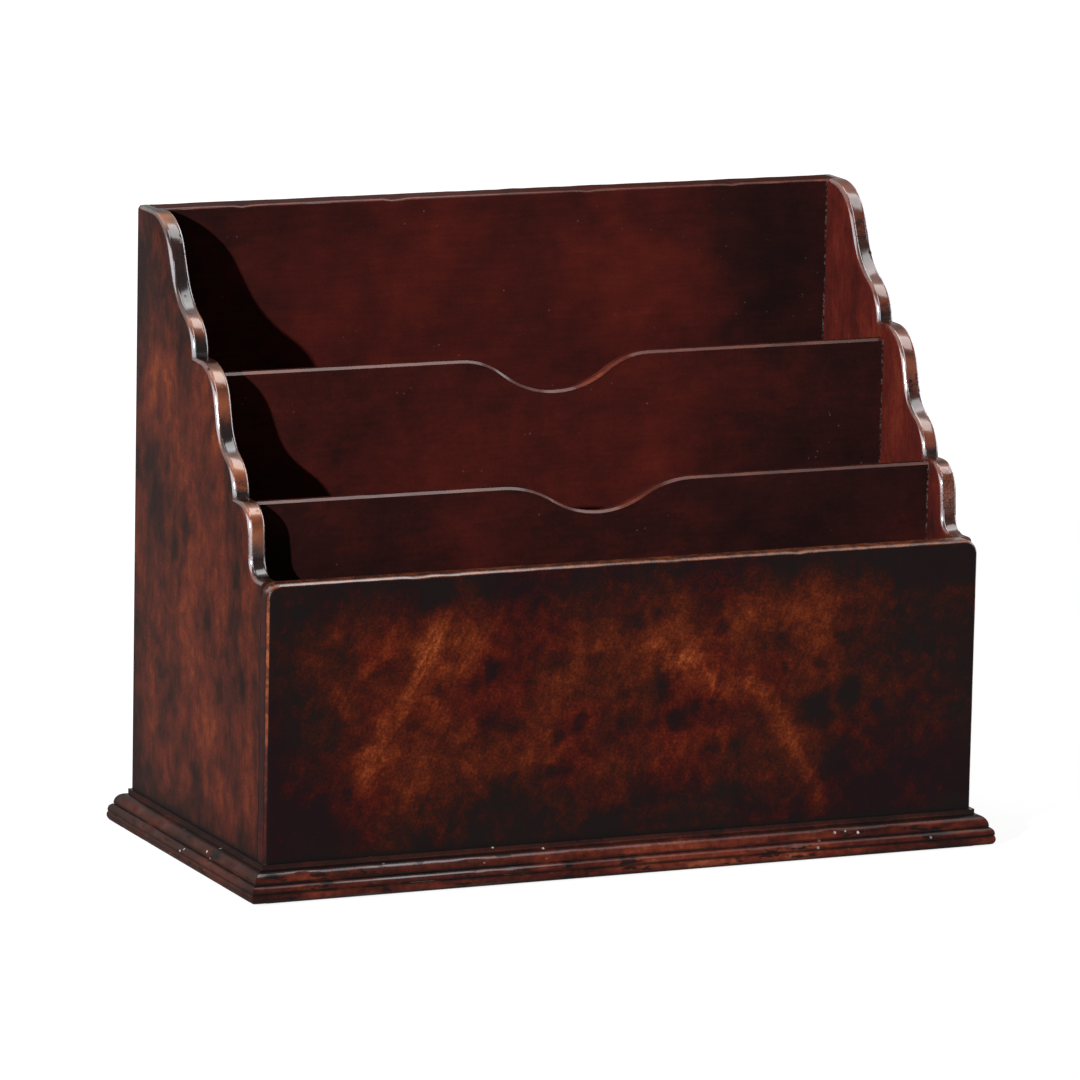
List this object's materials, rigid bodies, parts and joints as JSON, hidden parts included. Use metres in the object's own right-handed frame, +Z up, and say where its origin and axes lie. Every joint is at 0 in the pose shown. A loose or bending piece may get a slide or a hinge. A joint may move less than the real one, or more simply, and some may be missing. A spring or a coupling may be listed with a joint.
{
  "type": "desk letter rack",
  "caption": "Free-standing wooden desk rack for letters and envelopes, with scalloped sides, a tall back, stepped dividers with finger dips, a low front and a moulded base.",
  "frame": {"origin": "middle of the footprint on the surface that the rack stands on: the underlay's lower face", "axes": "+Z up, +X along the rack's length towards its right-hand side, +Y from the low front board to the tall back"},
  "size_m": [0.3164, 0.1564, 0.2475],
  "materials": {
    "side_wood": "glossy polished mahogany, mottled red-brown, with worn lighter edges",
    "inner_wood": "polished dark red mahogany",
    "front_burl": "high-gloss mottled burl figure, amber on near-black brown",
    "moulding_wood": "polished mahogany moulding with dark quirks and dents",
    "brad_iron": "plain cut brads, dulled",
    "green_baize": "thin felted wool baize"
  },
  "bodies": {
    "root": {"left_side": "side_wood", "right_side": "side_wood", "back_panel": "inner_wood", "rear_divider": "inner_wood", "front_divider": "inner_wood", "front_board": "front_burl", "base_board": "inner_wood", "front_base_moulding": "moulding_wood", "rear_base_moulding": "moulding_wood", "left_base_moulding": "moulding_wood", "right_base_moulding": "moulding_wood", "base_brads": "brad_iron", "baize_underlay": "green_baize"}
  },
  "joints": []
}
